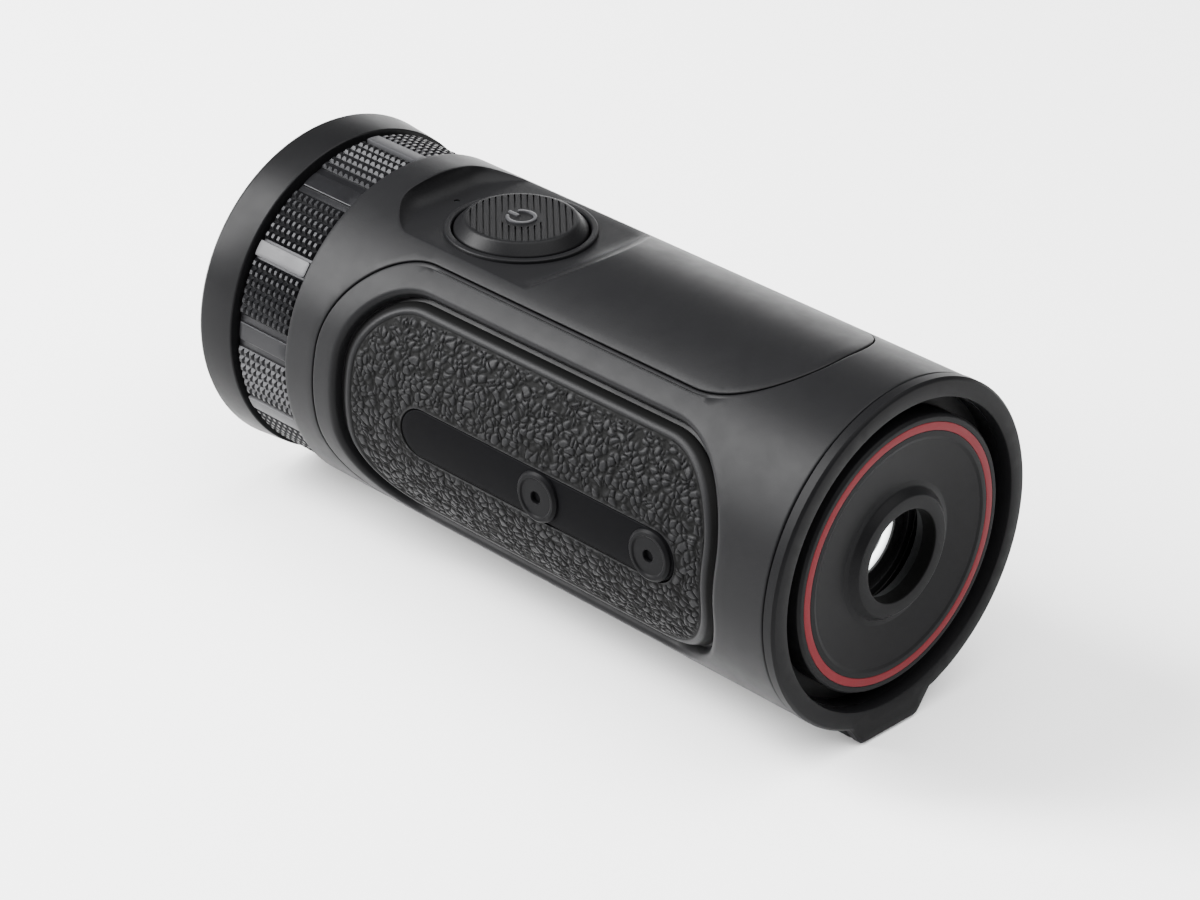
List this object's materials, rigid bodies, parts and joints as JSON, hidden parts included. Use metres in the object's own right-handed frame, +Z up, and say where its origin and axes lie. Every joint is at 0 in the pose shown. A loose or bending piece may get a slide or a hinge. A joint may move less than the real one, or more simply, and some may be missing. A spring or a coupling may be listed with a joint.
{
  "type": "thermal imaging monocular",
  "caption": "Round pocket thermal monocular with knurled focus ring, dioptre dial, top power button, leather-look grips and a keel with a tripod socket.",
  "frame": {"origin": "centre of the tripod socket's mouth in the keel's flat underside", "axes": "+Y forward to the objective lens, -Y to the eyepiece, +X to the right, +Z up through the power button"},
  "size_m": [0.0572, 0.1265, 0.0589],
  "materials": {
    "shell_plastic": "satin moulded plastic, dark grey",
    "cover_plastic": "satin moulded plastic, dark grey",
    "bezel_plastic": "fine matte moulded plastic",
    "grip_rubber": "moulded rubber with leather grain",
    "strip_plastic": "smooth semi-gloss black plastic",
    "ring_aluminium": "black anodised, knurled",
    "bar_aluminium": "satin bead-blasted",
    "housing_aluminium": "grey anodised",
    "cell_aluminium": "matte black anodised",
    "germanium": "germanium with infrared coating",
    "optical_glass": "coated optical glass",
    "red_ring_paint": "satin red",
    "button_plastic": "matte moulded plastic, ribbed",
    "symbol_plastic": "satin grey",
    "brass": "machined brass",
    "steel": "bright zinc-plated steel",
    "seal_rubber": "black nitrile",
    "light_pipe_plastic": "translucent plastic",
    "circuit_board": "green solder resist",
    "component_black": "moulded epoxy",
    "battery_wrap": "blue shrink wrap",
    "detector_gold": "gold-plated package",
    "chassis_plastic": "glass-filled plastic"
  },
  "bodies": {
    "housing": {"main_shell": "shell_plastic", "front_cover": "cover_plastic", "rear_bezel": "bezel_plastic", "base_rail": "bezel_plastic", "base_screws": "steel", "tripod_insert": "brass", "grip_panel_left": "grip_rubber", "grip_panel_right": "grip_rubber", "label_strip_left": "strip_plastic", "label_strip_right": "strip_plastic", "accessory_bosses": "button_plastic", "button_ring": "cover_plastic", "light_pipe": "light_pipe_plastic", "front_bezel": "ring_aluminium", "objective_housing": "housing_aluminium", "seals": "seal_rubber", "usb_socket": "steel", "usb_hinge_pin": "steel", "chassis": "chassis_plastic", "main_board": "circuit_board", "board_components": "component_black", "board_screws": "steel", "button_board": "circuit_board", "key_switch": "component_black", "battery_cell": "battery_wrap", "battery_contacts": "brass", "display_module": "component_black", "display_panel": "optical_glass", "eyepiece_housing": "component_black", "sensor_board": "circuit_board", "detector_package": "detector_gold", "detector_window": "germanium", "shutter_base": "chassis_plastic", "shutter_cover": "chassis_plastic", "shutter_motor": "steel"},
    "focus_ring": {"focus_ring": "ring_aluminium", "focus_bars": "bar_aluminium"},
    "objective_cell": {"objective_cell": "cell_aluminium", "objective_front_lens": "germanium", "objective_rear_lens": "germanium", "objective_retainer": "cell_aluminium", "objective_drive_pin": "steel"},
    "dioptre_dial": {"dioptre_dial": "bezel_plastic", "dial_red_ring": "red_ring_paint", "dial_retainer": "steel"},
    "eyepiece_cell": {"eyepiece_cell": "cell_aluminium", "eye_lens": "optical_glass", "field_lens": "optical_glass", "eye_lens_retainer": "cell_aluminium", "eyepiece_drive_pin": "steel"},
    "power_button": {"button_cap": "button_plastic", "power_symbol": "symbol_plastic", "switch_stem": "symbol_plastic"},
    "usb_cover": {"usb_cover": "seal_rubber"},
    "shutter_blade": {"shutter_blade": "component_black", "shutter_shaft": "steel"}
  },
  "joints": [
    {"name": "focus_ring_turn", "type": "hinge", "parent": "housing", "child": "focus_ring", "pos_m": [0, 0.057, 0.03035], "axis": [0, 1, 0], "range_deg": [-75, 75]},
    {"name": "objective_cell_slide", "type": "slide", "parent": "housing", "child": "objective_cell", "axis": [0, 1, 0], "range_m": [-0.00063, 0.00063]},
    {"name": "dioptre_dial_turn", "type": "hinge", "parent": "housing", "child": "dioptre_dial", "pos_m": [0, -0.052, 0.03035], "axis": [0, 1, 0], "range_deg": [-90, 90]},
    {"name": "eyepiece_cell_slide", "type": "slide", "parent": "housing", "child": "eyepiece_cell", "axis": [0, 1, 0], "range_m": [-0.001, 0.001]},
    {"name": "power_button_press", "type": "slide", "parent": "housing", "child": "power_button", "axis": [0, 0, -1], "range_m": [0, 0.0008], "stiffness_N_per_m": 1500, "springref_m": -0.0005},
    {"name": "usb_cover_hinge", "type": "hinge", "parent": "housing", "child": "usb_cover", "pos_m": [0.02605, -0.0085, 0.03035], "axis": [0, 0, 1], "range_deg": [0, 90]},
    {"name": "shutter_blade_swing", "type": "hinge", "parent": "housing", "child": "shutter_blade", "pos_m": [0, 0.0395, 0.04585], "axis": [0, 1, 0], "range_deg": [0, 52]}
  ],
  "couplings": [
    {"joint": "objective_cell_slide", "follows": "focus_ring_turn", "m_per_rad": 0.000477},
    {"joint": "eyepiece_cell_slide", "follows": "dioptre_dial_turn", "m_per_rad": 0.000636}
  ]
}
